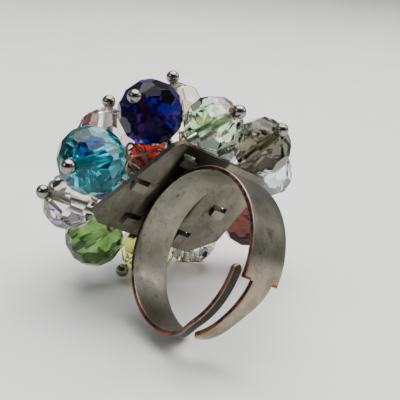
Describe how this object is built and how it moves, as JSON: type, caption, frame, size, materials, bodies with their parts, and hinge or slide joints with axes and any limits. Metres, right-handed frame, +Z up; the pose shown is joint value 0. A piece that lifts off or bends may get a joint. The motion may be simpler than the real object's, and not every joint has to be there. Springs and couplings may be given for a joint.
{
  "type": "cocktail ring",
  "caption": "Cluster cocktail ring: faceted glass beads on ball headpins over a domed screen, on a back plate and an adjustable open shank.",
  "frame": {"origin": "centre of the finger bore, midway along the shank's width", "axes": "+Z up, with the ring lying on its side the way it rests on a table; the finger axis and the crown are both oblique to the row axes"},
  "size_m": [0.031, 0.0376, 0.0275],
  "materials": {
    "plated_strip": "worn silver-tone plating with copper showing at the cut edges",
    "solder": "dull grey solder",
    "headpin": "polished ball headpin",
    "glass_aqua": "faceted glass with a rainbow coating",
    "glass_clear_side": "faceted glass with a rainbow coating",
    "glass_peridot": "faceted glass with a rainbow coating",
    "glass_citrine": "faceted glass with a rainbow coating",
    "glass_clear_low": "faceted glass with a rainbow coating",
    "glass_garnet": "faceted glass with a rainbow coating",
    "glass_ice": "faceted glass with a rainbow coating",
    "glass_smoky": "faceted glass with a rainbow coating",
    "glass_lime": "faceted glass with a rainbow coating",
    "glass_cobalt": "faceted glass with a rainbow coating",
    "glass_blush": "faceted glass with a rainbow coating",
    "glass_champagne": "faceted glass with a rainbow coating",
    "glass_amethyst": "faceted glass with a rainbow coating",
    "glass_teal": "faceted glass with a rainbow coating",
    "glass_topaz": "faceted glass with a rainbow coating",
    "glass_crystal": "faceted glass with a rainbow coating",
    "glass_coral": "faceted glass with a rainbow coating"
  },
  "bodies": {
    "crown": {"shank_middle": "plated_strip", "solder_seam": "solder", "back_plate": "plated_strip", "bead_screen": "plated_strip", "pin_aqua": "headpin", "pin_clear_side": "headpin", "pin_peridot": "headpin", "pin_citrine": "headpin", "pin_clear_low": "headpin", "pin_garnet": "headpin", "pin_ice": "headpin", "pin_smoky": "headpin", "pin_lime": "headpin", "pin_cobalt": "headpin", "pin_blush": "headpin", "pin_champagne": "headpin", "pin_amethyst": "headpin", "pin_teal": "headpin", "pin_topaz": "headpin", "pin_crystal": "headpin", "pin_coral": "headpin"},
    "prong_side": {"prong_arm": "plated_strip"},
    "tongue_side": {"tongue_arm": "plated_strip"},
    "bead_aqua": {"bead_aqua": "glass_aqua"},
    "bead_clear_side": {"bead_clear_side": "glass_clear_side"},
    "bead_peridot": {"bead_peridot": "glass_peridot"},
    "bead_citrine": {"bead_citrine": "glass_citrine"},
    "bead_clear_low": {"bead_clear_low": "glass_clear_low"},
    "bead_garnet": {"bead_garnet": "glass_garnet"},
    "bead_ice": {"bead_ice": "glass_ice"},
    "bead_smoky": {"bead_smoky": "glass_smoky"},
    "bead_lime": {"bead_lime": "glass_lime"},
    "bead_cobalt": {"bead_cobalt": "glass_cobalt"},
    "bead_blush": {"bead_blush": "glass_blush"},
    "bead_champagne": {"bead_champagne": "glass_champagne"},
    "bead_amethyst": {"bead_amethyst": "glass_amethyst"},
    "bead_teal": {"bead_teal": "glass_teal"},
    "bead_topaz": {"bead_topaz": "glass_topaz"},
    "bead_crystal": {"bead_crystal": "glass_crystal"},
    "bead_coral": {"bead_coral": "glass_coral"}
  },
  "joints": [
    {"name": "prong_arm_bend", "type": "hinge", "parent": "crown", "child": "prong_side", "pos_m": [-0.00641, 0.00674, -0.00239], "axis": [0.727, 0.5425, -0.421], "range_deg": [-3, 8]},
    {"name": "tongue_arm_bend", "type": "hinge", "parent": "crown", "child": "tongue_side", "pos_m": [-0.00006, 0.00593, 0.00755], "axis": [-0.727, -0.5425, 0.421], "range_deg": [-3, 8]},
    {"name": "aqua_spin", "type": "hinge", "parent": "crown", "child": "bead_aqua", "pos_m": [-0.0132, 0.00138, 0.00939], "axis": [-0.4135, -0.9078, 0.0709], "continuous": true},
    {"name": "clear_side_spin", "type": "hinge", "parent": "crown", "child": "bead_clear_side", "pos_m": [-0.01635, 0.00674, 0.00255], "axis": [-0.6762, -0.6016, 0.4252], "continuous": true},
    {"name": "peridot_spin", "type": "hinge", "parent": "crown", "child": "bead_peridot", "pos_m": [-0.01396, 0.0113, -0.00361], "axis": [-0.6225, 0.5182, -0.5865], "continuous": true},
    {"name": "citrine_spin", "type": "hinge", "parent": "crown", "child": "bead_citrine", "pos_m": [-0.00741, 0.01459, -0.0061], "axis": [-0.7024, -0.3558, -0.6165], "continuous": true},
    {"name": "clear_low_spin", "type": "hinge", "parent": "crown", "child": "bead_clear_low", "pos_m": [-0.00197, 0.02007, -0.00628], "axis": [-0.0359, 0.7138, -0.6994], "continuous": true},
    {"name": "garnet_spin", "type": "hinge", "parent": "crown", "child": "bead_garnet", "pos_m": [0.00578, 0.02074, -0.00321], "axis": [0.7453, 0.5398, -0.3914], "continuous": true},
    {"name": "ice_spin", "type": "hinge", "parent": "crown", "child": "bead_ice", "pos_m": [0.00762, 0.02068, 0.00394], "axis": [0.4952, 0.8124, 0.308], "continuous": true},
    {"name": "smoky_spin", "type": "hinge", "parent": "crown", "child": "bead_smoky", "pos_m": [0.00621, 0.01519, 0.00891], "axis": [0.4626, -0.5793, 0.6711], "continuous": true},
    {"name": "lime_spin", "type": "hinge", "parent": "crown", "child": "bead_lime", "pos_m": [-0.00007, 0.01136, 0.01191], "axis": [0.6456, -0.502, 0.5756], "continuous": true},
    {"name": "cobalt_spin", "type": "hinge", "parent": "crown", "child": "bead_cobalt", "pos_m": [-0.00752, 0.00787, 0.01377], "axis": [-0.365, -0.7565, 0.5427], "continuous": true},
    {"name": "blush_spin", "type": "hinge", "parent": "crown", "child": "bead_blush", "pos_m": [-0.01292, 0.01184, 0.00957], "axis": [-0.0476, 0.459, 0.8872], "continuous": true},
    {"name": "champagne_spin", "type": "hinge", "parent": "crown", "child": "bead_champagne", "pos_m": [-0.00478, 0.01734, 0.01243], "axis": [-0.2431, 0.3873, 0.8893], "continuous": true},
    {"name": "amethyst_spin", "type": "hinge", "parent": "crown", "child": "bead_amethyst", "pos_m": [-0.01529, 0.01481, 0.00312], "axis": [-0.838, 0.5336, -0.1142], "continuous": true},
    {"name": "teal_spin", "type": "hinge", "parent": "crown", "child": "bead_teal", "pos_m": [-0.01075, 0.01987, -0.00128], "axis": [-0.4922, 0.8017, -0.3391], "continuous": true},
    {"name": "topaz_spin", "type": "hinge", "parent": "crown", "child": "bead_topaz", "pos_m": [-0.00296, 0.02222, 0.00095], "axis": [0.0345, 0.9895, -0.1401], "continuous": true},
    {"name": "crystal_spin", "type": "hinge", "parent": "crown", "child": "bead_crystal", "pos_m": [0.0004, 0.02036, 0.00769], "axis": [0.2526, 0.8805, 0.4012], "continuous": true},
    {"name": "coral_spin", "type": "hinge", "parent": "crown", "child": "bead_coral", "pos_m": [-0.00948, 0.01867, 0.0065], "axis": [-0.4585, 0.8216, 0.3388], "continuous": true}
  ]
}
